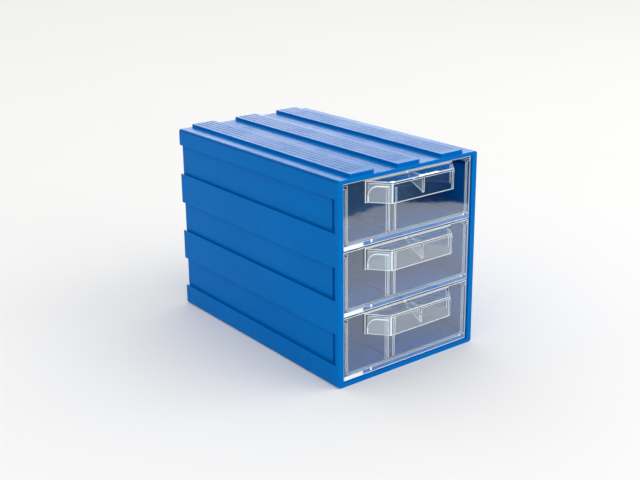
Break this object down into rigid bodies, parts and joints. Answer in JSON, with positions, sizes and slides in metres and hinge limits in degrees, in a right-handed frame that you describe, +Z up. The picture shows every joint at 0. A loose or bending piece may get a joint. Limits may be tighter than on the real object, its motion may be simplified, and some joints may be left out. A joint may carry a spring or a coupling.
{
  "type": "parts organizer cabinet",
  "caption": "Small-parts cabinet with clear sliding drawers in a moulded case, with ridges and channels that interlock with its neighbours.",
  "frame": {"origin": "middle of the footprint of the whole outline, handles and side ridges included, on the surface that it stands on", "axes": "+X to the right seen from the front, +Y to the back, +Z up; the drawers open towards -Y"},
  "size_m": [0.1424, 0.2342, 0.1645],
  "materials": {
    "blue_plastic": "opaque blue moulded polypropylene, satin gloss with a fine moulded texture",
    "clear_plastic": "clear polystyrene, glossy, with bright moulded edges",
    "divider_plastic": "clear polystyrene, glossy"
  },
  "bodies": {
    "cabinet": {"cabinet": "blue_plastic"},
    "drawer_bottom": {"drawer_bottom": "clear_plastic", "divider_bottom": "divider_plastic"},
    "drawer_middle": {"drawer_middle": "clear_plastic", "divider_middle": "divider_plastic"},
    "drawer_top": {"drawer_top": "clear_plastic", "divider_top": "divider_plastic"}
  },
  "joints": [
    {"name": "drawer_bottom_slide", "type": "slide", "parent": "cabinet", "child": "drawer_bottom", "axis": [0, -1, 0], "range_m": [0, 0.1675]},
    {"name": "drawer_middle_slide", "type": "slide", "parent": "cabinet", "child": "drawer_middle", "axis": [0, -1, 0], "range_m": [0, 0.1675]},
    {"name": "drawer_top_slide", "type": "slide", "parent": "cabinet", "child": "drawer_top", "axis": [0, -1, 0], "range_m": [0, 0.1675]}
  ]
}
